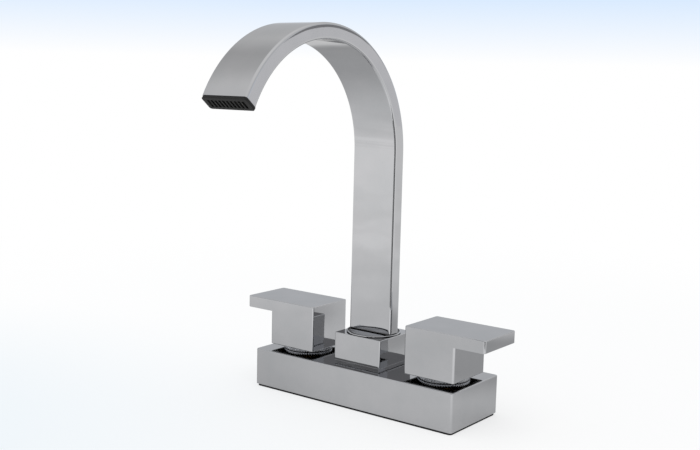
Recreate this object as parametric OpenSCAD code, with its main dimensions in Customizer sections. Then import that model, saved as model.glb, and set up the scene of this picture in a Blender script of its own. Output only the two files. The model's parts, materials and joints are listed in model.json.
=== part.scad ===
// Two-handle basin mixer tap with a flat swan-neck spout on a rectangular base.
// X runs along the base, Y points to the back and Z up. The origin lies on the deck,
// under the axis on which the spout turns.

/* [Base cover] */
// Distance from each valve's axis to the nearest end of the cover
base_end = 21.6; // [18:0.2:34]
// Depth of the base cover, front to back
base_w = 50.4; // [44:0.2:64]
// Height of the cover's top face above the deck
base_h = 24; // [23:0.2:32]
// Thickness of the cover's side walls
base_wall = 2.2; // [1.6:0.1:3]
// Thickness of the cover's top wall
base_top_t = 2.4; // [1.8:0.1:3]
// Radius of the cover's upright corners
base_corner_r = 2.2; // [1.2:0.1:5]
// Bevel round the cover's top edge
base_edge = 0.7; // [0.3:0.1:1.1]

/* [Deck gasket] */
// Thickness of the gasket under the cover
gasket_t = 1.2; // [0.8:0.1:2]
// How far the gasket's rim stands back from the cover's
gasket_inset = 0.6; // [0.3:0.1:1.1]

/* [Valve bodies] */
// Distance between the two valve axes
valve_pitch = 101.6; // [98:0.1:106]
// Radius of a valve body
valve_r = 12.5; // [12:0.1:14]
// Minor radius of the threaded inlet socket
inlet_r = 9.32; // [8:0.01:10]
// Depth of the inlet socket
inlet_depth = 8.3; // [6:0.1:8.6]
// Clearance between the valve body's foot and the deck
inlet_lift = 0.5; // [0.3:0.1:0.8]
// Thickness of the valve seat's web
seat_t = 2.4; // [1.8:0.1:2.6]
// Radius of the water passage through the seat
seat_r = 4.4; // [3:0.1:5]
// Radius of the threaded neck that stands through the cover
neck_r = 10.8; // [10.2:0.1:11.4]
// How far the neck stands above the knurled ring
neck_rise = 2.9; // [2:0.1:4]
// Radius of the threaded bore for the headwork
headwork_bore_r = 8.35; // [8:0.05:8.6]
// Bore radius of the cross pipe between the valves and the spout hub
pipe_bore_r = 4; // [3:0.1:4.2]
// Wall of the cross pipe
pipe_wall = 1.3; // [1:0.1:1.5]

/* [Headworks] */
// Wall of the headwork's barrel round the discs
barrel_wall = 0.8; // [0.5:0.1:1.1]
// Thickness of the rubber seal under the fixed disc
seal_t = 1.9; // [1.4:0.1:2.4]
// Thickness of each ceramic disc
disc_t = 2; // [1.5:0.1:2.4]
// Radius of the spindle
spindle_r = 4; // [3.6:0.1:4.4]
// Height of the headwork's hexagon
hexagon_h = 4; // [3:0.1:5]
// Height of the gland above the hexagon
gland_h = 3; // [2:0.1:4]
// Number of splines on the spindle
spline_count = 20; // [16:1:28]

/* [Knurled rings] */
// Outer radius of the knurled ring that clamps the cover
knurled_r = 15.4; // [14.4:0.1:16.4]
// Height of the knurled ring
knurled_h = 2.1; // [1.6:0.1:3]
// Number of ridges round the ring
knurl_count = 60; // [40:1:72]
// Depth of the knurl
knurl_depth = 0.5; // [0.3:0.1:0.7]

/* [Handles] */
// Side of the square handle block
handle_w = 33.8; // [33:0.2:38]
// Height of the handle, from its underside to its top
handle_h = 28.2; // [26:0.2:34]
// Thickness of the lever plate
lever_t = 7.3; // [5:0.1:9]
// How far the lever plate reaches past the block
lever_reach = 19.3; // [12:0.2:30]
// Thickness of the block's side walls
handle_wall = 2.4; // [1.8:0.1:2.8]
// Thickness of the block's top wall
handle_top_t = 4; // [3:0.1:5]
// Radius of the handle's upright corners
handle_corner_r = 1.5; // [1:0.1:2.5]
// Bevel round the handle's edges
handle_edge = 0.6; // [0.3:0.1:0.9]
// Running gap between the knurled ring and the handle
handle_gap = 0.3; // [0.2:0.1:0.6]
// Radius of the boss that grips the spindle
boss_r = 7; // [6.4:0.1:8]
// Thread radius of the handle's set screw
screw_r = 2.5; // [2:0.1:3]

/* [Collar and hub] */
// Side of the square collar under the spout
collar_w = 33.6; // [33:0.2:38]
// Height of the collar
collar_h = 18.4; // [17:0.2:24]
// Thickness of the collar's foot, which the gland nut presses on
collar_foot_t = 3; // [2:0.1:4]
// Radius of the collar's bore
collar_bore_r = 14.5; // [14.3:0.1:15]
// Radius of the collar's upright corners
collar_corner_r = 1.2; // [0.8:0.1:2]
// Bevel round the collar's top edge
collar_edge = 0.4; // [0.2:0.1:0.6]
// Height of the recess round the collar's foot
recess_h = 1.2; // [0.8:0.1:1.8]
// Depth of the recess round the collar's foot
recess_d = 0.9; // [0.5:0.1:1.2]
// Radius of the spout hub below the cover
hub_r = 13.5; // [13:0.1:15]
// Thread radius of the hub's neck
hub_neck_r = 11.5; // [11.2:0.1:11.8]
// Radius of the gland nut over its corners
nut_r = 13.9; // [13.7:0.1:14.1]

/* [Spout] */
// Width of the spout's flat section
spout_w = 30.6; // [24:0.2:31.2]
// Thickness of the spout's flat section
spout_t = 8.8; // [7:0.1:11]
// Wall of the spout
spout_wall = 1.5; // [1:0.1:2]
// Radius of the section's corners
spout_corner_r = 1.4; // [0.8:0.1:2.4]
// Length of the spout's straight upright
stem_l = 107; // [70:0.5:150]
// Radius of the arch along the middle of the section
arch_r = 67.2; // [50:0.2:90]
// Angle through which the spout bends over
arch_angle = 154.6; // [120:0.2:175]
// Angle by which the outlet's face looks forward of a square cut
outlet_skew = 14; // [0:0.5:18]
// Radius of the round flange under the upright
flange_r = 16.4; // [16.1:0.1:16.5]
// Thickness of the round flange
flange_t = 1.2; // [0.8:0.1:2]
// Outer radius of the turning shank
shank_r = 9; // [8.6:0.1:9.4]
// Wall of the turning shank
shank_wall = 2.5; // [2.2:0.1:3]

/* [Outlet] */
// Thickness of the black grille that covers the spout's end
grille_t = 1.1; // [0.8:0.1:2]
// Thickness of the seal behind the grille
outlet_seal_t = 0.4; // [0.3:0.1:0.8]
// Length of the flow straightener behind the grille
insert_l = 9; // [6:0.5:14]
// Number of slots in the grille
slot_count = 10; // [6:1:12]
// Width of one slot
slot_w = 1.5; // [0.8:0.1:1.6]
// Length of one slot
slot_l = 5.4; // [3:0.1:5.6]

/* [Hidden] */
$fn = 72;
over = 0.6;             // overrun of every cut past the face it opens
fit = 0.05;             // radial clearance of a turning or threaded fit
loose = 0.1;            // clearance of a piece that is dropped into place
hole_gap = 0.5;         // clearance round what passes through a plate
left = -1;              // side of the left valve along X
right = 1;              // side of the right valve along X

base_l = valve_pitch + 2 * base_end;                    // length of the base cover

// Levels, from the deck up
ceiling_z = base_h - base_top_t;                        // underside of the cover's top
socket_z = inlet_lift + inlet_depth;                    // inner end of the inlet socket
seat_z = socket_z + seat_t;                             // face that the seat seal presses on
ring_z = base_h + knurled_h;                            // top of the knurled ring
neck_z = ring_z + neck_rise;                            // top of the valve's neck
handle_z = ring_z + handle_gap;                         // underside of the handle
handle_top_z = handle_z + handle_h;
lever_z = handle_top_z - lever_t;                       // underside of the lever plate

// Headwork
barrel_r = headwork_bore_r - fit;
barrel_bore_r = barrel_r - barrel_wall;
disc_r = barrel_bore_r - loose;
chamber_r = headwork_bore_r + 0.15 * headwork_bore_r;   // wider space round the barrel's windows
seal_bite = 0.4 * seal_t;                               // part of the seal below the barrel
barrel_z = seat_z + seal_bite;
fixed_disc_z = seat_z + seal_t;
moving_disc_z = fixed_disc_z + disc_t;
driver_z = moving_disc_z + disc_t;
driver_h = 0.55 * spindle_r;                            // height of the bar that turns the disc
driver_w = 0.9 * spindle_r;
key_depth = 0.4 * disc_t;                               // how deep the bar bites into the disc
cavity_z = driver_z + driver_h + loose;                 // roof of the barrel's disc space
chamber_z = cavity_z + fit;                             // roof of the space round the barrel
hexagon_z = neck_z + hexagon_h;
gland_z = hexagon_z + gland_h;
gland_r = 1.5 * spindle_r;
hexagon_r = neck_r - 1.2 * fit;
spindle_bore_r = spindle_r + fit;
port_angle = 80;                                        // width of each port in a disc
port_in_share = 0.3;                                    // port's inner radius over the disc's
port_out_share = 0.82;                                  // port's outer radius over the disc's

// Spindle
clip_t = 0.7;                                           // thickness of the spindle's clip
clip_r = 0.95 * gland_r;
clip_groove_r = 0.8 * spindle_r;
clip_z = gland_z + loose;
boss_z = clip_z + clip_t + 2 * loose + fit;             // lower end of the handle's boss
spline_r = spindle_r - fit;                             // radius over the splines
spline_depth = 0.08 * spindle_r;
spindle_top_z = handle_top_z - handle_top_t - 4 * over;
socket_end_z = spindle_top_z + over;
spindle_groove_r = 0.72 * spindle_r;
spindle_ring_r = (spindle_bore_r - spindle_groove_r) / 2 - fit / 2;
spindle_groove_h = 2 * spindle_ring_r + 2 * loose;
spindle_groove_z = (cavity_z + neck_z) / 2;

// Headwork's own ring, just under the mouth of the neck
headwork_groove_r = barrel_r - 0.16 * barrel_r;
headwork_ring_r = (headwork_bore_r - headwork_groove_r) / 2 - fit / 2;
headwork_groove_h = 2 * headwork_ring_r + 2 * loose;
headwork_groove_z = neck_z - neck_rise;

// Set screw of a handle
screw_z = (boss_z + socket_end_z) / 2;
rib_w = 3.4 * screw_r;
screw_sink = 1.2 * handle_wall;                         // how deep the screw lies in its hole
screw_hex_share = 0.55;                                 // key socket's radius over the screw's
screw_hex_depth = 1.2 * screw_r;

// Cross pipe
pipe_r = pipe_bore_r + pipe_wall;
pipe_z = ceiling_z - pipe_r - loose;

// Collar, hub and shank
collar_z = base_h + collar_h;                           // top of the collar
foot_z = base_h + collar_foot_t;
hub_hole_r = hub_neck_r + 2 * loose;
hub_bore_r = shank_r + fit;
hub_floor_t = 2.4;                                      // wall under the hub's water space
hub_space_z = pipe_z - pipe_bore_r - fit;
glide_t = 0.4;                                          // part of the glide ring that shows
flange_z = collar_z + glide_t + fit;                    // underside of the spout's flange
flange_edge = 0.2 * flange_t;
glide_h = 2;                                            // depth of the glide ring's spigot
glide_wall = 2;
glide_inner_r = collar_bore_r - fit - glide_wall;
shank_head_r = glide_inner_r - 3 * loose;
shank_head_h = 2.2;
nut_lip_t = 2;
nut_z = collar_z - glide_h - 4 * loose;                 // top of the gland nut
nut_lip_z = nut_z - nut_lip_t;
split_t = 2;                                            // height of the split ring's groove
hub_top_z = nut_lip_z - split_t;
split_groove_r = shank_r - 1;
split_slot_w = 2;
nut_hole_r = shank_r + 3 * loose;
shank_bore_r = shank_r - shank_wall;
shank_z = pipe_z + pipe_bore_r + over;                  // lower end of the shank
shank_groove_r = shank_r - 0.6 * shank_wall;
shank_ring_r = (hub_bore_r - shank_groove_r) / 2 - fit / 2;
shank_groove_h = 2 * shank_ring_r + 2 * loose;
shank_groove_shares = [0.3, 0.65];                      // places of the two grooves in the hub

// Spout
stem_z = flange_z + flange_t;                           // where the flat upright starts
arch_z = stem_z + stem_l;                               // height of the arch's centre
inner_w = spout_w - 2 * spout_wall;
inner_t = spout_t - 2 * spout_wall;
inner_corner_r = spout_corner_r * 0.4;
end_slack = spout_t * tan(outlet_skew);                 // what the skewed cut needs past the centre
end_angle = atan((end_slack + over) / arch_r);
end_box = 2 * spout_w;
face_t = spout_t / cos(outlet_skew);                    // the section's depth on the skewed face
metal_end = grille_t + outlet_seal_t;
insert_w = inner_w - 2 * loose;
insert_t = inner_t - 2 * loose;
insert_angle = atan(insert_l / arch_r);
slot_pitch = (inner_w - slot_w) / slot_count;

// Places a valve's piece on its axis and turns it to face its own side
module at_valve(side) {
    translate([side * valve_pitch / 2, 0, 0]) mirror([side > 0 ? 1 : 0, 0, 0]) children();
}

// Tube or disc with its axis on Z, from z0 up to z1
module ring(r_out, r_in, z0, z1) {
    translate([0, 0, z0]) difference() {
        cylinder(r = r_out, h = z1 - z0);
        translate([0, 0, -over]) cylinder(r = r_in, h = z1 - z0 + 2 * over);
    }
}

// Plain drum on Z, from z0 up to z1
module drum(r, z0, z1) {
    translate([0, 0, z0]) cylinder(r = r, h = z1 - z0);
}

// Ring of round section, such as a rubber O-ring
module o_ring(middle_r, section_r, z) {
    translate([0, 0, z]) rotate_extrude() translate([middle_r, 0]) circle(r = section_r, $fn = 24);
}

// Rounded rectangle in the plane
module rounded(l, w, r) {
    square([l - 2 * r, w], center = true);
    square([l, w - 2 * r], center = true);
    for (sx = [-1, 1], sy = [-1, 1])
        translate([sx * (l / 2 - r), sy * (w / 2 - r)]) circle(r = r, $fn = 32);
}

// Side view of a block whose upper edges, and lower edges if low is set, are bevelled
function block_side(half, h, edge, low) = concat(
    low ? [[-half, edge], [edge - half, 0], [half - edge, 0], [half, edge]] : [[-half, 0], [half, 0]],
    [[half, h - edge], [half - edge, h], [edge - half, h], [-half, h - edge]]);

function post_side(r, h, edge, low) = concat(
    low ? [[0, 0], [r - edge, 0], [r, edge]] : [[0, 0], [r, 0]],
    [[r, h - edge], [r - edge, h], [0, h]]);

// Block with rounded upright corners and bevelled edges, standing on z = 0
module block(l, w, h, r, edge, low = false) {
    for (sx = [-1, 1], sy = [-1, 1])
        translate([sx * (l / 2 - r), sy * (w / 2 - r), 0])
            rotate_extrude($fn = 32) polygon(post_side(r, h, edge, low));
    rotate([90, 0, 90]) linear_extrude(l - 2 * r, center = true) polygon(block_side(w / 2, h, edge, low));
    rotate([90, 0, 0]) linear_extrude(w - 2 * r, center = true) polygon(block_side(l / 2, h, edge, low));
}

// Outline with pointed ridges all round, for a knurl or a spline
module ridged(r, depth, count) {
    polygon([for (i = [0 : 2 * count - 1])
        (r - (i % 2) * depth) * [cos(180 * i / count), sin(180 * i / count)]]);
}

// Two opposite ports of a ceramic disc, centred on the angle turn
module ports(turn) {
    for (a = [turn, turn + 180]) rotate([0, 0, a]) intersection() {
        ring(port_out_share * disc_r, port_in_share * disc_r, -over, disc_t + over);
        linear_extrude(4 * disc_t, center = true)
            polygon([[0, 0], 2 * disc_r * [cos(port_angle / 2), -sin(port_angle / 2)],
                2 * disc_r * [cos(port_angle / 2), sin(port_angle / 2)]]);
    }
}

// Gasket between the cover and the deck, with a hole for each valve body
module deck_gasket() {
    color([0.07, 0.07, 0.08]) difference() {
        linear_extrude(gasket_t)
            rounded(base_l - 2 * gasket_inset, base_w - 2 * gasket_inset, base_corner_r);
        for (side = [left, right]) at_valve(side) drum(valve_r + hole_gap, -over, gasket_t + over);
    }
}

// Chromed cover, open below, with holes for the two valve necks and the hub's neck
module base_cover() {
    color([0.78, 0.79, 0.8]) difference() {
        translate([0, 0, gasket_t])
            block(base_l, base_w, base_h - gasket_t, base_corner_r, base_edge);
        translate([0, 0, gasket_t - over]) linear_extrude(ceiling_z - gasket_t + over)
            square([base_l - 2 * base_wall, base_w - 2 * base_wall], center = true);
        for (side = [left, right]) at_valve(side) drum(neck_r + hole_gap, ceiling_z - over, base_h + over);
        drum(hub_hole_r, ceiling_z - over, base_h + over);
    }
}

// Brass casting: two valve bodies with inlet sockets, a cross pipe and the spout's hub
module waterway() {
    color([0.78, 0.6, 0.3]) difference() {
        union() {
            for (side = [left, right]) at_valve(side) {
                drum(valve_r, inlet_lift, ceiling_z);
                drum(neck_r, ceiling_z - over, neck_z);
            }
            translate([0, 0, pipe_z]) rotate([0, 90, 0])
                cylinder(r = pipe_r, h = valve_pitch - valve_r, center = true);
            drum(hub_r, hub_space_z - hub_floor_t, ceiling_z);
            drum(hub_neck_r, ceiling_z - over, hub_top_z);
        }
        for (side = [left, right]) at_valve(side) {
            drum(inlet_r, inlet_lift - over, socket_z);
            drum(seat_r, socket_z - over, seat_z + over);
            drum(chamber_r, seat_z, chamber_z);
            drum(headwork_bore_r, seat_z + over, neck_z + over);
        }
        translate([0, 0, pipe_z]) rotate([0, 90, 0])
            cylinder(r = pipe_bore_r, h = valve_pitch - chamber_r, center = true);
        drum(hub_bore_r, hub_space_z, hub_top_z + over);
    }
}

// Threaded brass body of a quarter-turn headwork, with two windows for the water
module headwork(side) {
    color([0.76, 0.62, 0.34]) at_valve(side) difference() {
        union() {
            drum(barrel_r, barrel_z, neck_z);
            translate([0, 0, neck_z]) cylinder(r = hexagon_r, h = hexagon_h, $fn = 6);
            drum(gland_r, hexagon_z - over, gland_z);
        }
        drum(barrel_bore_r, barrel_z - over, cavity_z);
        drum(spindle_bore_r, cavity_z - over, gland_z + over);
        translate([0, 0, (driver_z + cavity_z) / 2])
            cube([3 * barrel_r, barrel_r, cavity_z - driver_z], center = true);
        ring(barrel_r + over, headwork_groove_r, headwork_groove_z, headwork_groove_z + headwork_groove_h);
    }
}

// Rubber ring between the headwork and the valve's neck
module headwork_o_ring(side) {
    color([0.08, 0.08, 0.08]) at_valve(side)
        o_ring(headwork_groove_r + fit / 2 + headwork_ring_r, headwork_ring_r,
            headwork_groove_z + headwork_groove_h / 2);
}

// Rubber seal between the seat and the fixed disc
module seat_seal(side) {
    color([0.1, 0.1, 0.1]) at_valve(side) ring(disc_r, seat_r + loose, seat_z, fixed_disc_z);
}

// Lower ceramic disc, whose ports let the water in
module fixed_disc(side) {
    color([0.95, 0.95, 0.93]) at_valve(side) translate([0, 0, fixed_disc_z]) difference() {
        cylinder(r = disc_r, h = disc_t);
        ports(0);
    }
}

// Upper ceramic disc, closed at rest, with a slot that the spindle's bar turns
module moving_disc(side) {
    color([0.9, 0.9, 0.88]) at_valve(side) translate([0, 0, moving_disc_z]) difference() {
        cylinder(r = disc_r, h = disc_t);
        ports(90);
        translate([-disc_r - over, -driver_w / 2 - loose, disc_t - key_depth - fit])
            cube([2 * (disc_r + over), driver_w + 2 * loose, key_depth + fit + over]);
    }
}

// Brass spindle: a bar on the moving disc, a sealed shaft and splines for the handle
module spindle(side) {
    bar_l = 2 * (disc_r - loose);
    color([0.8, 0.68, 0.4]) at_valve(side) difference() {
        union() {
            intersection() {
                translate([-bar_l / 2, -driver_w / 2, driver_z - key_depth])
                    cube([bar_l, driver_w, driver_h + key_depth]);
                drum(disc_r - loose, driver_z - key_depth - over, cavity_z);
            }
            drum(spindle_r, driver_z + driver_h - key_depth, boss_z);
            translate([0, 0, boss_z - fit]) linear_extrude(spindle_top_z - boss_z + fit)
                ridged(spline_r, spline_depth, spline_count);
        }
        ring(spindle_r + over, spindle_groove_r, spindle_groove_z, spindle_groove_z + spindle_groove_h);
        ring(spindle_r + over, clip_groove_r, clip_z - fit, clip_z + clip_t + fit);
    }
}

// Rubber ring on the spindle's shaft
module spindle_o_ring(side) {
    color([0.08, 0.08, 0.08]) at_valve(side)
        o_ring(spindle_groove_r + fit / 2 + spindle_ring_r, spindle_ring_r,
            spindle_groove_z + spindle_groove_h / 2);
}

// Spring clip that keeps the spindle in its headwork
module spindle_clip(side) {
    color([0.6, 0.61, 0.62]) at_valve(side) difference() {
        ring(clip_r, clip_groove_r + fit, clip_z, clip_z + clip_t);
        translate([0, -clip_groove_r * 0.8, clip_z - over])
            cube([2 * clip_r, 2 * clip_groove_r * 0.8, clip_t + 2 * over]);
    }
}

// Ring with a knurled rim, screwed on the valve's neck over the cover
module knurled_ring(side) {
    color([0.8, 0.81, 0.82]) at_valve(side) translate([0, 0, base_h]) difference() {
        linear_extrude(knurled_h) ridged(knurled_r, knurl_depth, knurl_count);
        translate([0, 0, -over]) cylinder(r = neck_r + fit, h = knurled_h + 2 * over);
    }
}

// Square handle block with a lever plate, hollow below round a splined boss
module handle(side) {
    color([0.8, 0.81, 0.82]) at_valve(side) difference() {
        union() {
            translate([0, 0, handle_z])
                block(handle_w, handle_w, handle_h, handle_corner_r, handle_edge, true);
            translate([-lever_reach / 2, 0, lever_z])
                block(handle_w + lever_reach, handle_w, lever_t, handle_corner_r, handle_edge, true);
        }
        difference() {
            translate([0, 0, handle_z - over]) linear_extrude(handle_h - handle_top_t + over)
                square(handle_w - 2 * handle_wall, center = true);
            drum(boss_r, boss_z, handle_top_z);
            translate([-rib_w / 2, 0, boss_z]) cube([rib_w, handle_w, handle_h]);
        }
        translate([0, 0, boss_z - over]) linear_extrude(socket_end_z - boss_z + over)
            ridged(spline_r + loose, spline_depth, spline_count);
        translate([0, 0, screw_z]) rotate([-90, 0, 0]) cylinder(r = screw_r + fit, h = handle_w);
    }
}

// Headless screw with a key socket that holds the handle on its spindle
module set_screw(side) {
    color([0.45, 0.46, 0.48]) at_valve(side) translate([0, spindle_r + loose, screw_z])
        rotate([-90, 0, 0]) difference() {
            screw_l = handle_w / 2 - screw_sink - spindle_r - loose;
            cylinder(r = screw_r, h = screw_l);
            translate([0, 0, screw_l - screw_hex_depth])
                cylinder(r = screw_hex_share * screw_r, h = screw_hex_depth + over, $fn = 6);
        }
}

// Square chromed collar round the hub; its foot is clamped by the gland nut
module collar() {
    color([0.78, 0.79, 0.8]) translate([0, 0, base_h]) difference() {
        union() {
            translate([0, 0, recess_h])
                block(collar_w, collar_w, collar_h - recess_h, collar_corner_r, collar_edge);
            linear_extrude(recess_h + over)
                rounded(collar_w - 2 * recess_d, collar_w - 2 * recess_d, collar_corner_r);
        }
        drum(collar_bore_r, collar_foot_t, collar_h + over);
        drum(hub_hole_r, -over, collar_foot_t + over);
    }
}

// Eight-sided nut on the hub's neck, whose lip keeps the split ring down
module gland_nut() {
    color([0.76, 0.62, 0.34]) difference() {
        translate([0, 0, foot_z]) cylinder(r = nut_r, h = nut_z - foot_z, $fn = 8);
        drum(hub_neck_r + fit, foot_z - over, nut_lip_z);
        drum(nut_hole_r, nut_lip_z - over, nut_z + over);
    }
}

// Black plastic ring on the collar that the spout's flange turns on
module glide_ring() {
    color([0.06, 0.06, 0.07]) {
        ring(flange_r - 4 * loose, glide_inner_r, collar_z, collar_z + glide_t);
        ring(collar_bore_r - fit, glide_inner_r, collar_z - glide_h, collar_z + glide_t);
    }
}

// Places children on the middle of the spout's end: Z along the flow, Y away from the arch's centre
module at_outlet(skew) {
    translate([0, arch_r * cos(arch_angle) - arch_r, arch_z + arch_r * sin(arch_angle)])
        rotate([arch_angle - skew, 0, 0]) children();
}

// Section l wide and w deep carried round the arch from angle a0, past its end
module arch(l, w, r, a0) {
    translate([0, -arch_r, arch_z]) rotate([90, 0, 90]) rotate([0, 0, a0])
        rotate_extrude(angle = arch_angle + end_angle - a0, $fn = 180) translate([arch_r, 0]) rounded(w, l, r);
}

// The same section carried up the stem from z0 and over the arch
module swan_neck(l, w, r, z0) {
    translate([0, 0, z0]) linear_extrude(arch_z - z0) rounded(l, w, r);
    arch(l, w, r, 0);
}

// Chromed hollow spout with its round turning flange
module spout() {
    color([0.8, 0.81, 0.82]) difference() {
        union() {
            swan_neck(spout_w, spout_t, spout_corner_r, stem_z - over);
            translate([0, 0, flange_z]) rotate_extrude() polygon([[0, 0], [flange_r, 0],
                [flange_r, flange_t - flange_edge], [flange_r - flange_edge, flange_t], [0, flange_t]]);
        }
        swan_neck(inner_w, inner_t, inner_corner_r, stem_z + spout_wall);
        intersection() {
            drum(shank_bore_r, flange_z - over, stem_z + 2 * spout_wall);
            cube([spout_w, inner_t, 2 * arch_z], center = true);
        }
        at_outlet(outlet_skew) translate([-end_box / 2, -end_box / 2, -metal_end]) cube(end_box);
    }
}

// Brass shank that turns in the hub, with grooves for two seals and the split ring
module spout_shank() {
    color([0.78, 0.62, 0.34]) difference() {
        union() {
            drum(shank_r, shank_z, flange_z);
            drum(shank_head_r, flange_z - shank_head_h, flange_z);
        }
        drum(shank_bore_r, shank_z - over, flange_z + over);
        for (share = shank_groove_shares) translate([0, 0, shank_groove_z(share)])
            ring(shank_r + over, shank_groove_r, 0, shank_groove_h);
        ring(shank_r + over, split_groove_r, hub_top_z, nut_lip_z);
    }
}

function shank_groove_z(share) = shank_z + share * (hub_top_z - shank_z) - shank_groove_h / 2;

// Two rubber rings on the shank
module spout_o_rings() {
    color([0.08, 0.08, 0.08]) for (share = shank_groove_shares)
        o_ring(shank_groove_r + fit / 2 + shank_ring_r, shank_ring_r,
            shank_groove_z(share) + shank_groove_h / 2);
}

// Split plastic ring that keeps the shank in the hub
module split_ring() {
    color([0.92, 0.92, 0.9]) difference() {
        ring(hub_neck_r - loose, split_groove_r + fit, hub_top_z + loose, nut_lip_z - loose);
        translate([0, -split_slot_w / 2, hub_top_z]) cube([2 * hub_neck_r, split_slot_w, 2 * split_t]);
    }
}

// Row of slots across the outlet, each lying along Y
module slots(h) {
    for (i = [0 : slot_count - 1])
        translate([(i - (slot_count - 1) / 2) * slot_pitch, 0, 0]) cube([slot_w, slot_l, h], center = true);
}

// Plastic flow straightener inside the spout's end
module outlet_insert() {
    color([0.9, 0.9, 0.88]) difference() {
        intersection() {
            arch(insert_w, insert_t, inner_corner_r, arch_angle - insert_angle);
            at_outlet(outlet_skew) translate([-end_box / 2, -end_box / 2, -grille_t - end_box])
                cube(end_box);
        }
        at_outlet(0) slots(4 * insert_l);
    }
}

// Rubber seal between the spout's cut end and the grille
module outlet_seal() {
    color([0.08, 0.08, 0.08]) difference() {
        at_outlet(outlet_skew) translate([0, 0, -metal_end]) linear_extrude(outlet_seal_t)
            rounded(spout_w - 2 * loose, face_t - 2 * loose, spout_corner_r);
        arch(inner_w, inner_t, inner_corner_r, arch_angle - insert_angle);
    }
}

// Black grille that closes the whole end of the spout
module outlet_grille() {
    color([0.05, 0.05, 0.055]) at_outlet(outlet_skew) translate([0, 0, -grille_t]) difference() {
        linear_extrude(grille_t) rounded(spout_w, face_t, spout_corner_r);
        slots(4 * grille_t);
    }
}

deck_gasket();
base_cover();
waterway();
headwork(left);  // headwork_left
headwork(right);  // headwork_right
headwork_o_ring(left);  // headwork_o_ring_left
headwork_o_ring(right);  // headwork_o_ring_right
seat_seal(left);  // seat_seal_left
seat_seal(right);  // seat_seal_right
fixed_disc(left);  // fixed_disc_left
fixed_disc(right);  // fixed_disc_right
knurled_ring(left);  // knurled_ring_left
knurled_ring(right);  // knurled_ring_right
collar();
gland_nut();
glide_ring();
handle(left);  // handle_left
handle(right);  // handle_right
spindle(left);  // spindle_left
spindle(right);  // spindle_right
moving_disc(left);  // moving_disc_left
moving_disc(right);  // moving_disc_right
spindle_o_ring(left);  // spindle_o_ring_left
spindle_o_ring(right);  // spindle_o_ring_right
spindle_clip(left);  // spindle_clip_left
spindle_clip(right);  // spindle_clip_right
set_screw(left);  // set_screw_left
set_screw(right);  // set_screw_right
spout();
spout_shank();
spout_o_rings();
split_ring();
outlet_insert();
outlet_seal();
outlet_grille();
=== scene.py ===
import json
import math
import bmesh
import bpy
import numpy as np
from mathutils import Matrix, Vector


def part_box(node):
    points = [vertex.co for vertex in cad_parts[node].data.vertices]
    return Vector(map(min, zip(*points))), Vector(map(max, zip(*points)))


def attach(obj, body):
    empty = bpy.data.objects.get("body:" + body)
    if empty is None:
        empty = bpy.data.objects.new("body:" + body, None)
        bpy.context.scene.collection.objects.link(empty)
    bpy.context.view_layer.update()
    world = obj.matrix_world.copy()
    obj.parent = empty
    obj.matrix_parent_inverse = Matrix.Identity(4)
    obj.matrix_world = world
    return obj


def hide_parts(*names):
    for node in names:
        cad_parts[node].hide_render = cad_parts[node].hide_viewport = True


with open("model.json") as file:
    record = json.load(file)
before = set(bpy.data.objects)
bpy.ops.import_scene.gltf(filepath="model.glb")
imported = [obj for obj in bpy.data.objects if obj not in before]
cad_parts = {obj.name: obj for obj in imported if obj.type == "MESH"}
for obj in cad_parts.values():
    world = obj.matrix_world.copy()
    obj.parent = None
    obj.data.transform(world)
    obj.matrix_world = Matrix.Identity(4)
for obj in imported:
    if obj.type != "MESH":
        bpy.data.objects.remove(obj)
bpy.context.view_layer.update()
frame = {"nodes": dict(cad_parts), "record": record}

# A two-handle basin mixer in polished chrome with a black slotted outlet.
# Everything is in metres; mm turns millimetres into metres.
mm = 0.001

camera = {
    "place": (360.25, -501.27, 194.93),  # mm, in front and to the right of the tap
    "yaw": 37.174, "pitch": 8.103, "roll": 1.393,  # degrees: turned left, looking down, tilted
    "lens": 53.72, "sensor": 36.0,  # mm
    "near": 0.01, "far": 20,  # m, the nearest and farthest things it sees
}


def placeCamera(c):
    yaw, pitch, roll = (math.radians(c[k]) for k in ("yaw", "pitch", "roll"))
    ahead = np.array([-math.sin(yaw) * math.cos(pitch), math.cos(yaw) * math.cos(pitch),
                      -math.sin(pitch)])
    right = np.cross(ahead, (0, 0, 1))
    right /= np.linalg.norm(right)
    up = np.cross(right, ahead)
    right, up = (math.cos(roll) * right + math.sin(roll) * up,
                 math.cos(roll) * up - math.sin(roll) * right)
    data = bpy.data.cameras.new("camera")
    data.lens, data.sensor_width = c["lens"], c["sensor"]
    data.clip_start, data.clip_end = c["near"], c["far"]
    view = bpy.data.objects.new("camera", data)
    turn = Matrix((right, up, -ahead)).transposed().to_4x4()
    view.matrix_world = Matrix.Translation([v * mm for v in c["place"]]) @ turn
    bpy.context.scene.collection.objects.link(view)
    bpy.context.scene.camera = view


placeCamera(camera)
print("camera placed")

past = 1 * mm  # how far a cutter reaches past the skin it cuts
slack = 0.3 * mm  # a face this close to a hollow's wall or roof still counts as part of the hollow
leastRadius = 0.3 * mm  # an inset outline keeps at least this much of its round corner


def loft(rings, closedStart=True, closedEnd=True):
    # Closed outlines carried one after another: rings has shape (steps, points, 3).
    # Each pair of neighbouring outlines is joined by quads, and the two ends are capped.
    steps, count = rings.shape[:2]
    i, j = np.arange(steps - 1)[:, None] * count, np.arange(count)[None]
    k = (j + 1) % count
    quads = np.stack([i + j, i + k, i + count + k, i + count + j], axis=-1).reshape(-1, 4)
    faces = quads.tolist()
    if closedStart:
        faces.append(list(range(count))[::-1])
    if closedEnd:
        faces.append(list(range((steps - 1) * count, steps * count)))
    return rings.reshape(-1, 3), faces


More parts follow.
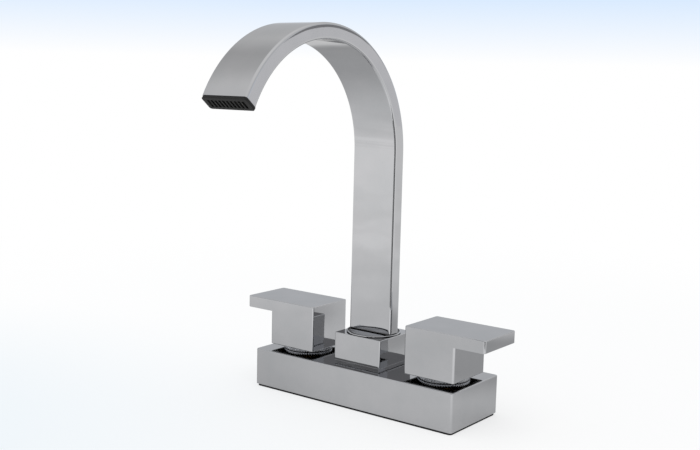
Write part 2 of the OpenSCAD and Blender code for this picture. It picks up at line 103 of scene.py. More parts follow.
def makePiece(name, *surfaces):
    points, faces, start = [], [], 0
    for surfacePoints, surfaceFaces in surfaces:
        points.append(surfacePoints)
        faces += [[v + start for v in face] for face in surfaceFaces]
        start += len(surfacePoints)
    mesh = bpy.data.meshes.new(name)
    mesh.from_pydata(np.concatenate(points).tolist(), [], faces)
    mesh.validate()
    piece = bpy.data.objects.new(name, mesh)
    bpy.context.scene.collection.objects.link(piece)
    return piece


def finishPiece(piece, sharpAngle=35):
    piece.data.shade_smooth()
    piece.data.set_sharp_from_angle(angle=math.radians(sharpAngle))
    normals = piece.modifiers.new("flatFaces", "WEIGHTED_NORMAL")
    normals.keep_sharp = True
    normals.weight = 90  # over 50, large flat faces set the shading, so only the fillets look round


def carve(piece, *cutters):
    # Takes the cutters out of the piece for good, then drops them.
    for cutter in cutters:
        cut = piece.modifiers.new("cut", "BOOLEAN")
        cut.operation, cut.solver, cut.object = "DIFFERENCE", "EXACT", cutter
    graph = bpy.context.evaluated_depsgraph_get()
    carved = bpy.data.meshes.new_from_object(piece.evaluated_get(graph))
    piece.modifiers.clear()
    piece.data = carved
    for cutter in cutters:
        bpy.data.objects.remove(cutter)


def roundedOutline(length, width, radius, corner=8, side=10):
    # Rectangle with round corners, counter-clockwise: an arc of so many points at each corner,
    # and so many even points along each side between two arcs.
    x, y = length / 2 - radius, width / 2 - radius
    arcs = []
    for n, (cx, cy) in enumerate(((x, -y), (x, y), (-x, y), (-x, -y))):
        turn = np.radians(np.linspace(-90, 0, corner) + 90 * n)
        arcs.append(np.stack([cx + radius * np.cos(turn), cy + radius * np.sin(turn)], axis=1))
    parts = []
    for n, arc in enumerate(arcs):
        steps = np.linspace(0, 1, side + 2)[1:-1, None]
        parts += [arc, arc[-1] * (1 - steps) + arcs[(n + 1) % 4][0] * steps]
    return np.concatenate(parts)


def circleLike(outline, radius):
    # Circle whose points lie at the same bearings as the outline's.
    bearing = np.arctan2(outline[:, 1], outline[:, 0])
    return radius * np.stack([np.cos(bearing), np.sin(bearing)], axis=1)


def level(outline, z):
    # The outline at one height.
    return np.concatenate([outline, np.full((len(outline), 1), z)], axis=1)


def fillet(radius, steps=5):
    # Quarter round as pairs of inset and rise, from the wall to the flat.
    turn = np.linspace(0, math.pi / 2, steps)
    return np.stack([radius * (1 - np.cos(turn)), radius * np.sin(turn)], axis=1)


def turned(profile, count=96, centre=(0.0, 0.0)):
    # Profile of (radius, height) pairs carried round a vertical axis.
    turn = np.linspace(0, 2 * math.pi, count, endpoint=False)
    radius, height = np.array(profile).T
    return np.stack([
        centre[0] + radius[:, None] * np.cos(turn), centre[1] + radius[:, None] * np.sin(turn),
        np.broadcast_to(height[:, None], (len(radius), count))], axis=-1)


def drill(radius, low, high, centre=(0.0, 0.0)):
    # Plain round cutter for an upright hole.
    return makePiece("drill", loft(turned([(radius, low), (radius, high)], centre=centre)))


def joinInto(piece, extra):
    # Adds the extra piece's faces to the piece.
    start = len(piece.data.vertices)
    points = np.empty(start * 3)
    piece.data.vertices.foreach_get("co", points)
    more = np.empty(len(extra.data.vertices) * 3)
    extra.data.vertices.foreach_get("co", more)
    faces = [list(face.vertices) for face in piece.data.polygons]
    faces += [[v + start for v in face.vertices] for face in extra.data.polygons]
    mesh = bpy.data.meshes.new(piece.name)
    mesh.from_pydata(np.concatenate([points, more]).reshape(-1, 3).tolist(), [], faces)
    piece.data = mesh
    bpy.data.objects.remove(extra)


def mergeSeam(piece, distance=0.001 * mm):
    # Points that lie on each other become one, which closes a loft's seam.
    work = bmesh.new()
    work.from_mesh(piece.data)
    bmesh.ops.remove_doubles(work, verts=work.verts, dist=distance)
    work.to_mesh(piece.data)
    work.free()


def toLinear(hexColour):
    channels = [int(hexColour[i:i + 2], 16) / 255 for i in (0, 2, 4)]
    return [c / 12.92 if c <= 0.04045 else ((c + 0.055) / 1.055) ** 2.4 for c in channels] + [1.0]


def addNode(tree, kind, links=None, **settings):
    # links gives an input its value or the output that feeds it.
    node = tree.nodes.new(kind)
    for key, value in settings.items():
        setattr(node, key, value)
    for key, value in (links or {}).items():
        if isinstance(value, bpy.types.NodeSocket):
            tree.links.new(value, node.inputs[key])
        else:
            node.inputs[key].default_value = value
    return node


def newMaterial(name):
    material = bpy.data.materials.new(name)
    material.use_nodes = True
    tree = material.node_tree
    tree.nodes.clear()
    place = addNode(tree, "ShaderNodeTexCoord").outputs["Object"]
    return material, tree, place


def ramped(tree, value, low, high, start=0.3, end=0.7):
    # Spreads a 0 to 1 pattern between two values or colours.
    ramp = addNode(tree, "ShaderNodeValToRGB", {"Fac": value})
    for stop, position, colour in zip(ramp.color_ramp.elements, (start, end), (low, high)):
        stop.position = position
        stop.color = colour if isinstance(colour, list) else [colour] * 3 + [1]
    return ramp.outputs["Color"]


def finishMaterial(tree, shader):
    addNode(tree, "ShaderNodeOutputMaterial", {"Surface": shader.outputs["BSDF"]})


chromeLook = {
    "colour": "c6c6c8", "worn": "c0c1c3",  # bright chromium over nickel, a little cooler than steel
    "roughness": (0.025, 0.06),  # clean plate to wiped film
    "filmSize": 18 * mm, "filmDetail": 5.0, "filmRoughness": 0.55,
    "waveSize": 26 * mm, "waveDetail": 1.0, "waveDepth": 0.16 * mm,
    "edgeTint": 0.8,  # chromium reflects less at a grazing angle than other metals
}


def polishedChrome():
    # Electroplated chrome on buffed castings: a mirror with a faint film of wipe marks
    # and the very shallow waves that buffing leaves on a cast face.
    material, tree, place = newMaterial("polishedChrome")
    look = chromeLook
    film = addNode(tree, "ShaderNodeTexNoise", {
        "Vector": place, "Scale": 1 / look["filmSize"], "Detail": look["filmDetail"],
        "Roughness": look["filmRoughness"]})
    waves = addNode(tree, "ShaderNodeTexNoise", {
        "Vector": place, "Scale": 1 / look["waveSize"], "Detail": look["waveDetail"]})
    bump = addNode(tree, "ShaderNodeBump", {
        "Height": waves.outputs["Fac"], "Distance": look["waveDepth"], "Strength": 1.0})
    shader = addNode(tree, "ShaderNodeBsdfPrincipled", {
        "Base Color": ramped(tree, film.outputs["Fac"], toLinear(look["worn"]),
                             toLinear(look["colour"])),
        "Roughness": ramped(tree, film.outputs["Fac"], look["roughness"][1], look["roughness"][0]),
        "Normal": bump.outputs["Normal"], "Metallic": 1.0,
        "Specular Tint": [look["edgeTint"]] * 3 + [1]})
    finishMaterial(tree, shader)
    return material


stainSize, mottleSize = 9 * mm, 12 * mm  # of the patches in bare metals, and in plastics


def bareMetal(name, colour, dark, roughness, grain, depth):
    # Bare metal: a cast skin is grainy and dull, turned faces are brighter with fine tool marks.
    material, tree, place = newMaterial(name)
    stain = addNode(tree, "ShaderNodeTexNoise", {
        "Vector": place, "Scale": 1 / stainSize, "Detail": 6.0})
    skin = addNode(tree, "ShaderNodeTexNoise", {"Vector": place, "Scale": 1 / grain, "Detail": 4.0})
    bump = addNode(tree, "ShaderNodeBump", {"Height": skin.outputs["Fac"], "Distance": depth})
    shader = addNode(tree, "ShaderNodeBsdfPrincipled", {
        "Base Color": ramped(tree, stain.outputs["Fac"], toLinear(dark), toLinear(colour)),
        "Roughness": ramped(tree, stain.outputs["Fac"], roughness[1], roughness[0]),
        "Normal": bump.outputs["Normal"], "Metallic": 1.0})
    finishMaterial(tree, shader)
    return material


def moulded(name, colour, tint, roughness, grain, depth, specular=0.5):
    # Plastic, rubber or ceramic: one even body colour with a fine skin from its mould or lapping,
    # so its highlight is soft on rubber and tight on the lapped disc.
    material, tree, place = newMaterial(name)
    cloud = addNode(tree, "ShaderNodeTexNoise", {
        "Vector": place, "Scale": 1 / mottleSize, "Detail": 4.0})
    skin = addNode(tree, "ShaderNodeTexNoise", {"Vector": place, "Scale": 1 / grain, "Detail": 3.0})
    bump = addNode(tree, "ShaderNodeBump", {"Height": skin.outputs["Fac"], "Distance": depth})
    shader = addNode(tree, "ShaderNodeBsdfPrincipled", {
        "Base Color": ramped(tree, cloud.outputs["Fac"], toLinear(tint), toLinear(colour)),
        "Roughness": ramped(tree, cloud.outputs["Fac"], roughness[0], roughness[1]),
        "Normal": bump.outputs["Normal"], "Specular IOR Level": specular})
    finishMaterial(tree, shader)
    return material


chrome = polishedChrome()
# Dull, grainy die-cast zinc, left unplated, in the hollows and under the stem; its dark tone
# is painted shade for those places.
paintedShadeZinc = bareMetal("paintedShadeZincCasting", "5f5e5b", "3f3e3c", (0.55, 0.75), 0.8 * mm, 0.06 * mm)
# Skins finer than about 0.3 mm wouldn't show, so they are drawn as coarse as they need to be.
finishes = {
    "chrome": chrome,
    # sand-cast brass: sandy grain and soft, uneven shine
    "cast_brass": bareMetal("castBrass", "b08d55", "8a6a3c", (0.34, 0.5), 0.9 * mm, 0.08 * mm),
    # turned brass: bright, with tight highlights
    "turned_brass": bareMetal(
        "turnedBrass", "cfae70", "b08f55", (0.16, 0.28), 0.35 * mm, 0.01 * mm),
    # foamed EPDM, cut from sheet: matt, pitted black that hardly shines
    "gasket_rubber": moulded(
        "foamedEpdm", "232325", "1a1a1b", (0.75, 0.9), 0.7 * mm, 0.1 * mm, 0.3),
    # moulded nitrile rubber: smooth black with a dull sheen
    "seal_rubber": moulded("nitrileRubber", "1b1b1c", "131314", (0.4, 0.55), 0.4 * mm, 0.02 * mm),
    # machined acetal: waxy, a little glossier than the moulded plastics
    "black_acetal": moulded("blackAcetal", "18181a", "101011", (0.32, 0.42), 0.5 * mm, 0.01 * mm),
    "white_acetal": moulded("whiteAcetal", "e6e5df", "dad8d0", (0.3, 0.42), 0.5 * mm, 0.01 * mm),
    # ABS from a lightly blasted mould: satin black
    "black_plastic": moulded(
        "satinBlackAbs", "212120", "1b1b1a", (0.4, 0.55), 0.4 * mm, 0.015 * mm, 0.2),
    # lapped alumina: warm white and nearly polished
    "ceramic": moulded("lappedAlumina", "efeee9", "e4e2db", (0.12, 0.22), 0.3 * mm, 0.003 * mm),
    # stainless spring steel and screws: plain grey with soft highlights
    "spring_steel": bareMetal(
        "stainlessSteel", "9a9b9d", "85868a", (0.22, 0.35), 0.3 * mm, 0.01 * mm),
}
print("materials made:", len(finishes))

nodeSlots = {part["node"]: part["material_slot"] for part in frame["record"]["subparts"]}
for node, slot in nodeSlots.items():
    shape = frame["nodes"][node]
    shape.data.materials.clear()
    shape.data.materials.append(finishes[slot])


def dress(piece, node, body, slot="chrome", inside=None):
    # The piece stands for the CAD node and moves with its body. The inside test gets the middles
    # of all faces, in their order, and says which of them get the dark unplated zinc of painted shade.
    piece.data.materials.clear()
    piece.data.materials.append(finishes[slot])
    if inside:
        piece.data.materials.append(paintedShadeZinc)
        count = len(piece.data.polygons)
        centre = np.empty(count * 3)
        piece.data.polygons.foreach_get("center", centre)
        bareShadedFaces = inside(centre.reshape(-1, 3))
        piece.data.polygons.foreach_set("material_index", bareShadedFaces.astype(np.int32))
    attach(piece, body)
    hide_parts(node)


coverLook = {"corner": 1.3 * mm, "topEdge": 0.6 * mm, "footEdge": 0.25 * mm, "wall": 2.2 * mm,
             "roof": 2.4 * mm, "neckHole": 11.3 * mm, "hubHole": 11.7 * mm, "valveX": 50.8 * mm}


def baseCover(c):
    # A rounded rectangle carried up the outside, over the top edge and closed; its hollow is the
    # same outline, one wall smaller, carried back up to the underside of the roof.
    low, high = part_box("base_cover")
    size = high[0] - low[0], high[1] - low[1]

    def ring(inset, z):
        radius = max(c["corner"] - inset, leastRadius)
        return level(roundedOutline(size[0] - 2 * inset, size[1] - 2 * inset, radius), z)

    rings = [ring(c["wall"], high[2] - c["roof"]), ring(c["wall"], low[2])]
    rings += [ring(inset, low[2] + c["footEdge"] - rise)
              for inset, rise in fillet(c["footEdge"], 3)[::-1]]
    rings += [ring(inset, high[2] - c["topEdge"] + rise) for inset, rise in fillet(c["topEdge"], 6)]
    piece = makePiece("chromeBaseCover", loft(np.array(rings)))
    top = high[2] + past
    holes = [drill(c["neckHole"], low[2], top, (x, 0)) for x in (-c["valveX"], c["valveX"])]
    holes.append(drill(c["hubHole"], low[2], top))
    carve(piece, *holes)
    finishPiece(piece)

    # faces inside the hollow get the dark zinc, painted shade under the cover
    def inside(centre):
        wall, roof = np.array(size) / 2 - c["wall"] + slack, high[2] - c["roof"] + slack
        return (np.abs(centre[:, :2]) < wall).all(axis=1) & (centre[:, 2] < roof)

    dress(piece, "base_cover", "base", inside=inside)


baseCover(coverLook)
print("base cover made")


handleLook = {"corner": 1.3 * mm, "edge": 0.5 * mm, "plate": 7.3 * mm, "wall": 2.4 * mm,
              "roof": 4 * mm, "pocketCorner": 1.2 * mm, "boss": 7 * mm, "bore": 4.05 * mm,
              "bossDrop": 10.4 * mm, "bossOverlap": 0.5 * mm, "bossSteps": 64,
              "screwHole": 2.55 * mm, "screwZ": 42.1 * mm, "screwSteps": 32,
              "cornerPoints": 8, "sidePoints": 0}


def handle(side, c):
    # A rounded square carried up from the foot to the plate's underside; there its outer side
    # jumps out to the lever's end, and the longer outline is carried on to the rounded top edge.
    node = "handle_" + side
    low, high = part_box(node)
    width, length = high[1] - low[1], high[0] - low[0]
    outward = -1 if side == "left" else 1
    axisX = (high[0] if side == "left" else low[0]) + outward * width / 2

    def ring(inset, z, reach=0.0, under=0.0):
        outline = roundedOutline(width - 2 * inset, width - 2 * inset, c["corner"] - inset,
                                 c["cornerPoints"], c["sidePoints"])
        outline = outline * (outward, 1) + (axisX, 0)
        outer = outward * (outline[:, 0] - axisX) > 0
        outline[outer, 0] += outward * (reach - under)
        return level(outline if outward > 0 else outline[::-1], z)

    reach, step = length - width, high[2] - c["plate"]
    rings = [ring(inset, low[2] + c["edge"] - rise) for inset, rise in fillet(c["edge"])[::-1]]
    rings.append(ring(0, step))
    rings += [ring(0, step + c["edge"] - rise, reach, inset)
              for inset, rise in fillet(c["edge"])[::-1]]
    rings += [ring(inset, high[2] - c["edge"] + rise, reach) for inset, rise in fillet(c["edge"])]
    piece = makePiece("chromeHandle" + side.capitalize(), loft(np.array(rings)))
    hollowWidth, roof = width - 2 * c["wall"], high[2] - c["roof"]
    hollow = roundedOutline(hollowWidth, hollowWidth, c["pocketCorner"]) + (axisX, 0)
    pocket = makePiece("pocket", loft(np.array([level(hollow, low[2] - past), level(hollow, roof)])))
    # the set screw's hole runs in through the back wall
    turn = np.linspace(0, 2 * math.pi, c["screwSteps"], endpoint=False)
    hole = np.stack([axisX + c["screwHole"] * np.cos(turn), np.zeros(len(turn)),
                     c["screwZ"] + c["screwHole"] * np.sin(turn)], axis=1)
    screwHole = makePiece("screwHole", loft(np.array([hole + (0, y, 0) for y in (width, width / 4)])))
    carve(piece, pocket, screwHole)
    # the boss for the spindle hangs from the roof
    bossTop, foot = roof + c["bossOverlap"], low[2] + c["bossDrop"]
    boss = turned([(c["bore"], bossTop), (c["bore"], foot), (c["boss"], foot), (c["boss"], bossTop)],
                  c["bossSteps"], (axisX, 0))
    joinInto(piece, makePiece("boss", loft(boss, False, False)))
    finishPiece(piece)

    # faces in the pocket and on the boss get the dark zinc, painted shade under the handle
    def inside(centre):
        aside = np.abs(centre[:, :2] - (axisX, 0)).max(axis=1)
        return (aside < hollowWidth / 2 + slack) & (centre[:, 2] < roof + slack)

    dress(piece, node, side + "_handle", inside=inside)


handle("left", handleLook)
handle("right", handleLook)
print("handles made")


knurlLook = {"ridges": 60, "depth": 0.5 * mm, "bevel": 0.35 * mm, "shoulder": 0.2 * mm,
             "bore": 10.85 * mm, "perRidge": 8, "sharpAngle": 50}


def knurledRing(side, c):
    # The radius swings with a cosine round the rim, and the swing fades out on the two bevels.
    node = "knurled_ring_" + side
    low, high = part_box(node)
    centre, outer = (low[0] + high[0]) / 2, (high[0] - low[0]) / 2
    turn = np.linspace(0, 2 * math.pi, c["ridges"] * c["perRidge"], endpoint=False)
    swing = c["depth"] * (0.5 - 0.5 * np.cos(c["ridges"] * turn))

    def ring(radius, z, share):
        r = radius - share * swing
        return np.stack([centre + r * np.cos(turn), r * np.sin(turn), np.full(len(turn), z)], axis=1)

    inner = outer - c["depth"] - c["shoulder"]
    rings = [ring(c["bore"], high[2], 0), ring(c["bore"], low[2], 0), ring(inner, low[2], 0),
             ring(outer, low[2] + c["bevel"], 1), ring(outer, high[2] - c["bevel"], 1),
             ring(inner, high[2], 0)]
    rings.append(rings[0])
    piece = makePiece("chromeKnurledRing" + side.capitalize(), loft(np.array(rings), False, False))
    mergeSeam(piece)
    finishPiece(piece, c["sharpAngle"])
    dress(piece, node, "base")


knurledRing("left", knurlLook)
knurledRing("right", knurlLook)
print("knurled rings made")


collarLook = {"corner": 0.9 * mm, "edge": 0.4 * mm, "recessHeight": 1.2 * mm,
              "recessDepth": 0.9 * mm, "bore": 14.5 * mm, "footThickness": 3 * mm,
              "hubHole": 11.7 * mm, "cornerPoints": 8, "sidePoints": 22}


def collar(c):
    # The square outline carried up over its recessed foot and its top edge, in to the round bore
    # and down to the web at the foot.
    low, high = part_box("collar")
    width = high[0] - low[0]

    def outline(inset):
        radius = max(c["corner"] - inset, leastRadius)
        return roundedOutline(width - 2 * inset, width - 2 * inset, radius, c["cornerPoints"],
                              c["sidePoints"])

    def hole(radius, z):
        return level(circleLike(outline(0), radius), z)

    step, web, edge = low[2] + c["recessHeight"], low[2] + c["footThickness"], fillet(c["edge"])
    rings = [hole(c["hubHole"], low[2]), level(outline(c["recessDepth"]), low[2]),
             level(outline(c["recessDepth"]), step)]
    rings += [level(outline(inset), step + c["edge"] - rise) for inset, rise in edge[::-1]]
    rings += [level(outline(inset), high[2] - c["edge"] + rise) for inset, rise in edge]
    rings += [hole(c["bore"], high[2]), hole(c["bore"], web), hole(c["hubHole"], web),
              hole(c["hubHole"], low[2])]
    piece = makePiece("chromeCollar", loft(np.array(rings), False, False))
    mergeSeam(piece)
    finishPiece(piece)
    dress(piece, "collar", "base")


collar(collarLook)
print("collar made")


spoutLook = {
    "width": 30.6 * mm, "thickness": 8.8 * mm, "corner": 1.5 * mm, "leastCorner": 0.4 * mm,
    "wall": 1.5 * mm, "cornerPoints": 7, "sidePoints": 3,
    "flange": 1.2 * mm,  # height of the flange at the foot, from whose top the stem is measured
    "shankBore": 6.5 * mm, "disc": 0.15 * mm, "discRadius": 14.2 * mm, "roundSteps": 128,
    "trimHeight": 0.42 * mm, "trimInner": 15.7 * mm, "trimEdge": 0.3 * mm,
    "neckFoot": 0.05 * mm, "neckTop": 0.65 * mm, "neckInset": 1.3 * mm, "footEdge": 0.25 * mm,
    "stemLength": 107 * mm, "archRadius": 67.2 * mm, "archAngle": 154.6, "skew": 14.0,  # degrees
    "metalEnd": 1.5 * mm, "stemSteps": 12, "archSteps": 150, "newtonSteps": 12,
}


def outletFrame(c, low):
    # Middle of the spout's end with its outward and flow directions in the YZ plane.
    stemTop, radius = low[2] + c["flange"] + c["stemLength"], c["archRadius"]
    angle, tilt = math.radians(c["archAngle"]), math.radians(c["archAngle"] - c["skew"])
    middle = np.array([0, radius * (math.cos(angle) - 1), stemTop + radius * math.sin(angle)])
    outward = np.array([0, math.cos(tilt), math.sin(tilt)])
    flow = np.array([0, -math.sin(tilt), math.cos(tilt)])
    return middle, outward, flow


def spout(c):
    # A rounded rectangle carried up the straight stem and round the arch; each point of the last
    # ring slides along its own flow line to the skewed plane that cuts the end.
    low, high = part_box("spout")
    stemTop = low[2] + c["flange"] + c["stemLength"]
    middle, _, normal = outletFrame(c, low)
    cutPoint = middle - c["metalEnd"] * normal

    def section(inset):
        radius = max(c["corner"] - inset, c["leastCorner"])
        return roundedOutline(c["width"] - 2 * inset, c["thickness"] - 2 * inset, radius,
                              c["cornerPoints"], c["sidePoints"])

    def skin(inset, foot):
        outline = section(inset)
        x, depth = outline.T
        stem = [level(outline, z) for z in np.linspace(foot, stemTop, c["stemSteps"])[:-1]]
        radius = c["archRadius"] + depth
        # angle at which each point's own circle meets the cutting plane, by a few Newton steps
        end = np.full(len(x), math.radians(c["archAngle"]))
        for _ in range(c["newtonSteps"]):
            y, z = radius * np.cos(end) - c["archRadius"], stemTop + radius * np.sin(end)
            gap = (y - cutPoint[1]) * normal[1] + (z - cutPoint[2]) * normal[2]
            slope = radius * (-np.sin(end) * normal[1] + np.cos(end) * normal[2])
            end = end - gap / slope
        turn = np.linspace(0, 1, c["archSteps"])[:, None] * end[None]
        arch = np.stack([np.broadcast_to(x, turn.shape), radius * np.cos(turn) - c["archRadius"],
                         stemTop + radius * np.sin(turn)], axis=-1)
        return np.concatenate([np.array(stem), arch])

    # The stem stands on a slightly smaller neck of unplated zinc, whose dark tone is painted shade: it
    # shows as a dark line under the stem.
    neckTop = low[2] + c["neckTop"]
    neck = [level(section(c["neckInset"]), z) for z in (low[2] + c["neckFoot"], neckTop)]
    neck += [level(section(inset), neckTop + c["footEdge"] - rise)
             for inset, rise in fillet(c["footEdge"], 4)[::-1]]
    outside = np.concatenate([neck, skin(0, neckTop + 2 * c["footEdge"])])
    inside = skin(c["wall"], neckTop + c["wall"])
    tube = loft(np.concatenate([outside, inside[::-1]]))
    tubeFaces = len(tube[1]) - 2
    outer = (high[0] - low[0]) / 2
    # A flat disc under the neck, and round it a low trim ring with a narrow gap between them.
    disc = turned([(c["shankBore"], low[2]), (c["discRadius"], low[2]),
                   (c["discRadius"], low[2] + c["disc"])], c["roundSteps"])
    piece = makePiece("chromeSpout", tube, loft(disc))
    top = low[2] + c["trimHeight"]
    profile = [(c["trimInner"], low[2]), (outer, low[2])]
    profile += [(outer - inset, top - c["trimEdge"] + rise) for inset, rise in fillet(c["trimEdge"], 4)]
    profile += [(c["trimInner"], top), (c["trimInner"], low[2])]
    trim = makePiece("trim", loft(turned(profile, c["roundSteps"]), False, False))
    mergeSeam(trim)
    joinInto(piece, trim)
    finishPiece(piece)
    around = outside.shape[1]

    def bareShadedFaces(centre):
        # faces in painted shade: the first two rows are the neck and the ledge over it, the last ones
        # the hollow
        face = np.arange(len(centre))
        return (face < 2 * around) | ((face >= len(outside) * around) & (face < tubeFaces))

    dress(piece, "spout", "spout_body", inside=bareShadedFaces)


spout(spoutLook)
print("spout made")


grilleLook = {"thickness": 1.1 * mm, "corner": 1.6 * mm, "edge": 0.25 * mm, "slots": 10,
              "slotWidth": 1.65 * mm, "slotLength": 5.4 * mm, "slotRound": 0.35 * mm,
              "slotFrom": -3 * mm, "slotTo": 1 * mm}  # reach of the cut along the flow


def outletGrille(g, c):
    # A rounded plate on the skewed end, with a row of slots cut right through.
    middle, outward, flow = outletFrame(c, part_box("spout")[0])
    across = np.array([1.0, 0, 0])
    depth = c["thickness"] / math.cos(math.radians(c["skew"]))

    def ring(length, width, radius, drop, shift=0.0):
        outline = roundedOutline(length, width, radius, c["cornerPoints"], c["sidePoints"])
        return middle + (outline[:, :1] + shift) * across + outline[:, 1:] * outward + drop * flow

    rings = [ring(c["width"], depth, g["corner"], -g["thickness"])]
    for inset, rise in fillet(g["edge"], 4):
        rings.append(ring(c["width"] - 2 * inset, depth - 2 * inset, g["corner"] - inset,
                          rise - g["edge"]))
    piece = makePiece("blackOutletGrille", loft(np.array(rings)))
    pitch = (c["width"] - 2 * c["wall"] - g["slotWidth"]) / g["slots"]
    cutters = []
    for n in range(g["slots"]):
        shift = (n - (g["slots"] - 1) / 2) * pitch
        slot = [ring(g["slotWidth"], g["slotLength"], g["slotRound"], drop, shift)
                for drop in (g["slotFrom"], g["slotTo"])]
        cutters.append(makePiece("slot", loft(np.array(slot))))
    carve(piece, *cutters)
    finishPiece(piece)
    dress(piece, "outlet_grille", "spout_body", "black_plastic")


outletGrille(grilleLook, spoutLook)
print("outlet grille made")


studio = {
    "floorSize": 12.0, "floorColour": "f4f5f6", "floorGlow": (0.66, 1.0), "glowReach": (0.15, 0.7),
    # painted shadow in what mirrors see of the floor: its light near the tap, and behind it, then where
    # each fades out
    "mirrorShadowNear": 0.68, "mirrorReach": (0.12, 0.62), "mirrorShadowBack": 0.86, "backReach": (0.2, 0.9),
    # each soft spot of painted shade on the floor for mirrors, the third a painted pool of light: its
    # middle, radius of its full depth and of its rim, share of light
    "shadowAndLightSpots": (((0.165, 0.12, 0), 0.05, 0.115, 0.38), ((-0.21, 0.09, 0), 0.08, 0.26, 0.46),
              ((0.2, -0.2, 0), 0.11, 0.22, 1.5), ((-0.102, 0.13, 0), 0.035, 0.09, 0.35)),
    "tint": ((-0.2, -0.3, 0), 0.0, 0.4, "e4f0f8"),  # seen by the camera alone
    "cloudSize": 0.16, "cloudRange": (0.35, 0.65), "cloudShade": 0.88, "cloudReach": (0.5, 1.6),
    # the sky from the horizon up: height of each band as a sine, and its colour
    "skyBands": ((0.0, "ffffff"), (0.015, "ffffff"), (0.075, "daebff"), (0.13, "e0e3e8"),
                 (0.3, "d9dbde"), (0.65, "ececec"), (1.0, "ffffff")),
    # above the view the sky is a little uneven, as a diffuser's cloth is
    "skyCloudSize": 0.7, "skyCloudRange": (0.35, 0.65), "skyCloudShade": 0.9,
    "skyCloudHeight": (0.12, 0.22),
    "skySpot": ((-0.68, 0.02, 0.73), 0.08, 0.42, 0.7),  # like a floor spot, but set by direction
    "softbox": {"place": (-0.3, -0.5, 1.9), "aim": (0, 0, 0.08), "size": (2.0, 2.0), "power": 14},
    # each card: colour, start and end round the axis in degrees, then radius and height of its
    # two long edges
    "cards": (("3a3a3c", -82, -58, 0.27, 0.0, 0.5, 0.0), ("3a3a3c", -82, -58, 0.5, 0.0, 0.5, 0.12),
              ("3a3a3c", -50, -20, 0.27, 0.0, 0.5, 0.0), ("3a3a3c", -50, -20, 0.5, 0.0, 0.5, 0.12),
              ("929294", 44, 66, 1.48, 0.3, 1.48, 0.56), ("e6e6e8", 36, 80, 1.5, 0.1, 1.5, 0.4),
              ("808081", -170, -60, 1.6, 0.45, 1.6, 0.8)),
    "cardPoints": 24, "cardLift": 0.5 * mm,
}


def eased(tree, value, reach, start, end, kind="SMOOTHSTEP"):
    # Goes from start to end while the value runs over the reach.
    node = addNode(tree, "ShaderNodeMapRange", {
        "Value": value, "From Min": reach[0], "From Max": reach[1], "To Min": start, "To Max": end},
        interpolation_type=kind)
    return node.outputs["Result"]


def distanceTo(tree, place, middle):
    node = addNode(tree, "ShaderNodeVectorMath", {0: place, 1: middle}, operation="DISTANCE")
    return node.outputs["Value"]


def combined(tree, operation, first, *others):
    # One value by the same operation all along, such as the product of all of them.
    for other in others:
        node = addNode(tree, "ShaderNodeMath", {0: first, 1: other}, operation=operation)
        first = node.outputs[0]
    return first


def cardMaterial(name, colour):
    # Card that glows evenly, so a mirror shows it as one flat tone.
    material, tree, _ = newMaterial(name)
    glow = addNode(tree, "ShaderNodeEmission", {"Color": toLinear(colour)})
    addNode(tree, "ShaderNodeOutputMaterial", {"Surface": glow.outputs[0]})
    return material


def floorMaterial(s):
    # Pale matt floor; for camera, mirror and glass rays most of it glows white, so only the
    # shadow's share of its own shade is left, and none of it far away. Mirrors see a painted shadow
    # of the tap on it, dimmer round the tap and behind it, soft painted shade spots beside it, one
    # painted pool of light in front, and a faint unevenness.
    material, tree, place = newMaterial("paleFloor")
    path = addNode(tree, "ShaderNodeLightPath").outputs
    mirror = combined(tree, "MAXIMUM", path["Is Glossy Ray"], path["Is Transmission Ray"])
    seen = combined(tree, "MAXIMUM", path["Is Camera Ray"], mirror)
    distance = addNode(tree, "ShaderNodeVectorMath", {0: place}, operation="LENGTH").outputs["Value"]
    depth = addNode(tree, "ShaderNodeSeparateXYZ", {"Vector": place}).outputs["Y"]
    share = combined(tree, "MULTIPLY", seen, eased(tree, distance, s["glowReach"], *s["floorGlow"]))
    cloud = addNode(tree, "ShaderNodeTexNoise", {
        "Vector": place, "Scale": 1 / s["cloudSize"], "Detail": 2.0}).outputs["Fac"]
    cloudShade = eased(tree, distance, s["cloudReach"], s["cloudShade"], 1.0)
    # painted shadow and light of the tap on the floor, which only mirrors see
    paintedShadows = [eased(tree, distance, s["mirrorReach"], s["mirrorShadowNear"], 1.0),
            eased(tree, depth, s["backReach"], 1.0, s["mirrorShadowBack"]),
            eased(tree, cloud, s["cloudRange"], cloudShade, 1.0)]
    paintedShadows += [eased(tree, distanceTo(tree, place, middle), (full, rim), left, 1.0)
             for middle, full, rim, left in s["shadowAndLightSpots"]]
    paintedShadow = combined(tree, "MULTIPLY", *paintedShadows)
    strength = addNode(tree, "ShaderNodeMix", {0: mirror, 2: 1.0, 3: paintedShadow}).outputs[0]
    matt = addNode(tree, "ShaderNodeBsdfDiffuse", {"Color": toLinear(s["floorColour"])})
    middle, full, rim, tint = s["tint"]
    tinted = combined(tree, "MULTIPLY", path["Is Camera Ray"],
                      eased(tree, distanceTo(tree, place, middle), (full, rim), 1.0, 0.0))
    paint = addNode(tree, "ShaderNodeMix", {0: tinted, 6: toLinear("ffffff"), 7: toLinear(tint)},
                    data_type="RGBA").outputs[2]
    glow = addNode(tree, "ShaderNodeEmission", {"Color": paint, "Strength": strength})
    mix = addNode(tree, "ShaderNodeMixShader", {0: share, 1: matt.outputs[0], 2: glow.outputs[0]})
    addNode(tree, "ShaderNodeOutputMaterial", {"Surface": mix.outputs[0]})
    return material


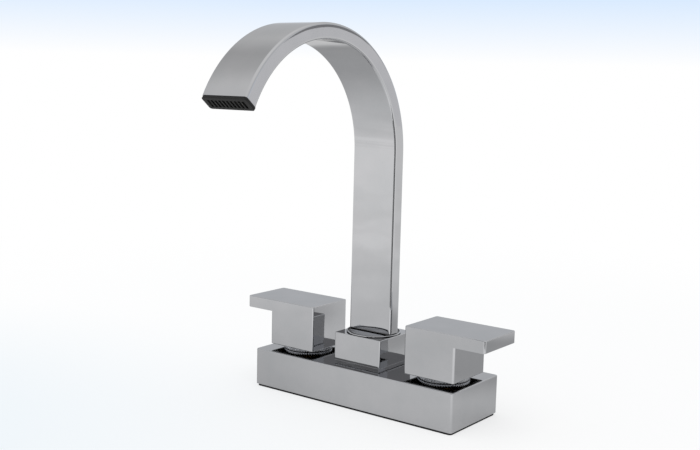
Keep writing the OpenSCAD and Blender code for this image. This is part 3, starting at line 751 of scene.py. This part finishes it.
def skyWorld(s):
    # White at the horizon, a breath of blue just above it, soft grey higher up, white overhead.
    world = bpy.data.worlds.new("studio")
    world.use_nodes = True
    tree = world.node_tree
    tree.nodes.clear()
    bearing = addNode(tree, "ShaderNodeTexCoord").outputs["Generated"]
    height = addNode(tree, "ShaderNodeSeparateXYZ", {"Vector": bearing}).outputs["Z"]
    ramp = addNode(tree, "ShaderNodeValToRGB", {"Fac": height})
    for _ in s["skyBands"][2:]:
        ramp.color_ramp.elements.new(0.5)
    for stop, (position, colour) in zip(ramp.color_ramp.elements, s["skyBands"]):
        stop.position, stop.color = position, toLinear(colour)
    cloud = addNode(tree, "ShaderNodeTexNoise", {
        "Vector": bearing, "Scale": 1 / s["skyCloudSize"], "Detail": 2.0}).outputs["Fac"]
    middle, full, rim, left = s["skySpot"]
    shade = combined(tree, "MULTIPLY",
                     eased(tree, cloud, s["skyCloudRange"], s["skyCloudShade"], 1.0, "LINEAR"),
                     eased(tree, distanceTo(tree, bearing, middle), (full, rim), left, 1.0))
    high = eased(tree, height, s["skyCloudHeight"], 0.0, 1.0, "LINEAR")
    strength = addNode(tree, "ShaderNodeMix", {0: high, 2: 1.0, 3: shade}).outputs[0]
    glow = addNode(tree, "ShaderNodeBackground", {
        "Color": ramp.outputs["Color"], "Strength": strength})
    addNode(tree, "ShaderNodeOutputWorld", {"Surface": glow.outputs[0]})
    bpy.context.scene.world = world


def softLight(box):
    # Large soft lamp over the camera's left; mirrors don't see it.
    lamp = bpy.data.lights.new("softbox", "AREA")
    lamp.shape, lamp.energy = "RECTANGLE", box["power"]
    lamp.size, lamp.size_y = box["size"]
    holder = bpy.data.objects.new("softbox", lamp)
    holder.location = box["place"]
    holder.visible_glossy = False
    aim = Vector(box["aim"]) - Vector(box["place"])
    holder.rotation_euler = aim.to_track_quat("-Z", "Y").to_euler()
    bpy.context.scene.collection.objects.link(holder)


def mirrorCards(s):
    # Dark, grey and pale cards stand or lie round the tap, as used round polished metal.
    # Only mirrors see them.
    count = s["cardPoints"]
    faces = [[i, i + 1, i + 1 + count, i + count] for i in range(count - 1)]
    for n, (colour, start, end, *edges) in enumerate(s["cards"]):
        turn = np.radians(np.linspace(start, end, count))
        arc = np.stack([np.cos(turn), np.sin(turn)], axis=1)
        points = np.concatenate([level(radius * arc, height + s["cardLift"])
                                 for radius, height in (edges[:2], edges[2:])])
        card = makePiece("card" + str(n), (points, faces))
        card.data.materials.append(cardMaterial("cardFace" + str(n), colour))
        card.visible_camera = card.visible_diffuse = card.visible_shadow = False


def makeStudio(s):
    half = s["floorSize"] / 2
    corners = [(-half, -half, 0), (half, -half, 0), (half, half, 0), (-half, half, 0)]
    floor = makePiece("floor", (np.array(corners), [[0, 1, 2, 3]]))
    floor.data.materials.append(floorMaterial(s))
    skyWorld(s)
    softLight(s["softbox"])
    mirrorCards(s)


makeStudio(studio)
bpy.context.scene.view_settings.view_transform = "Standard"
print("studio lit")
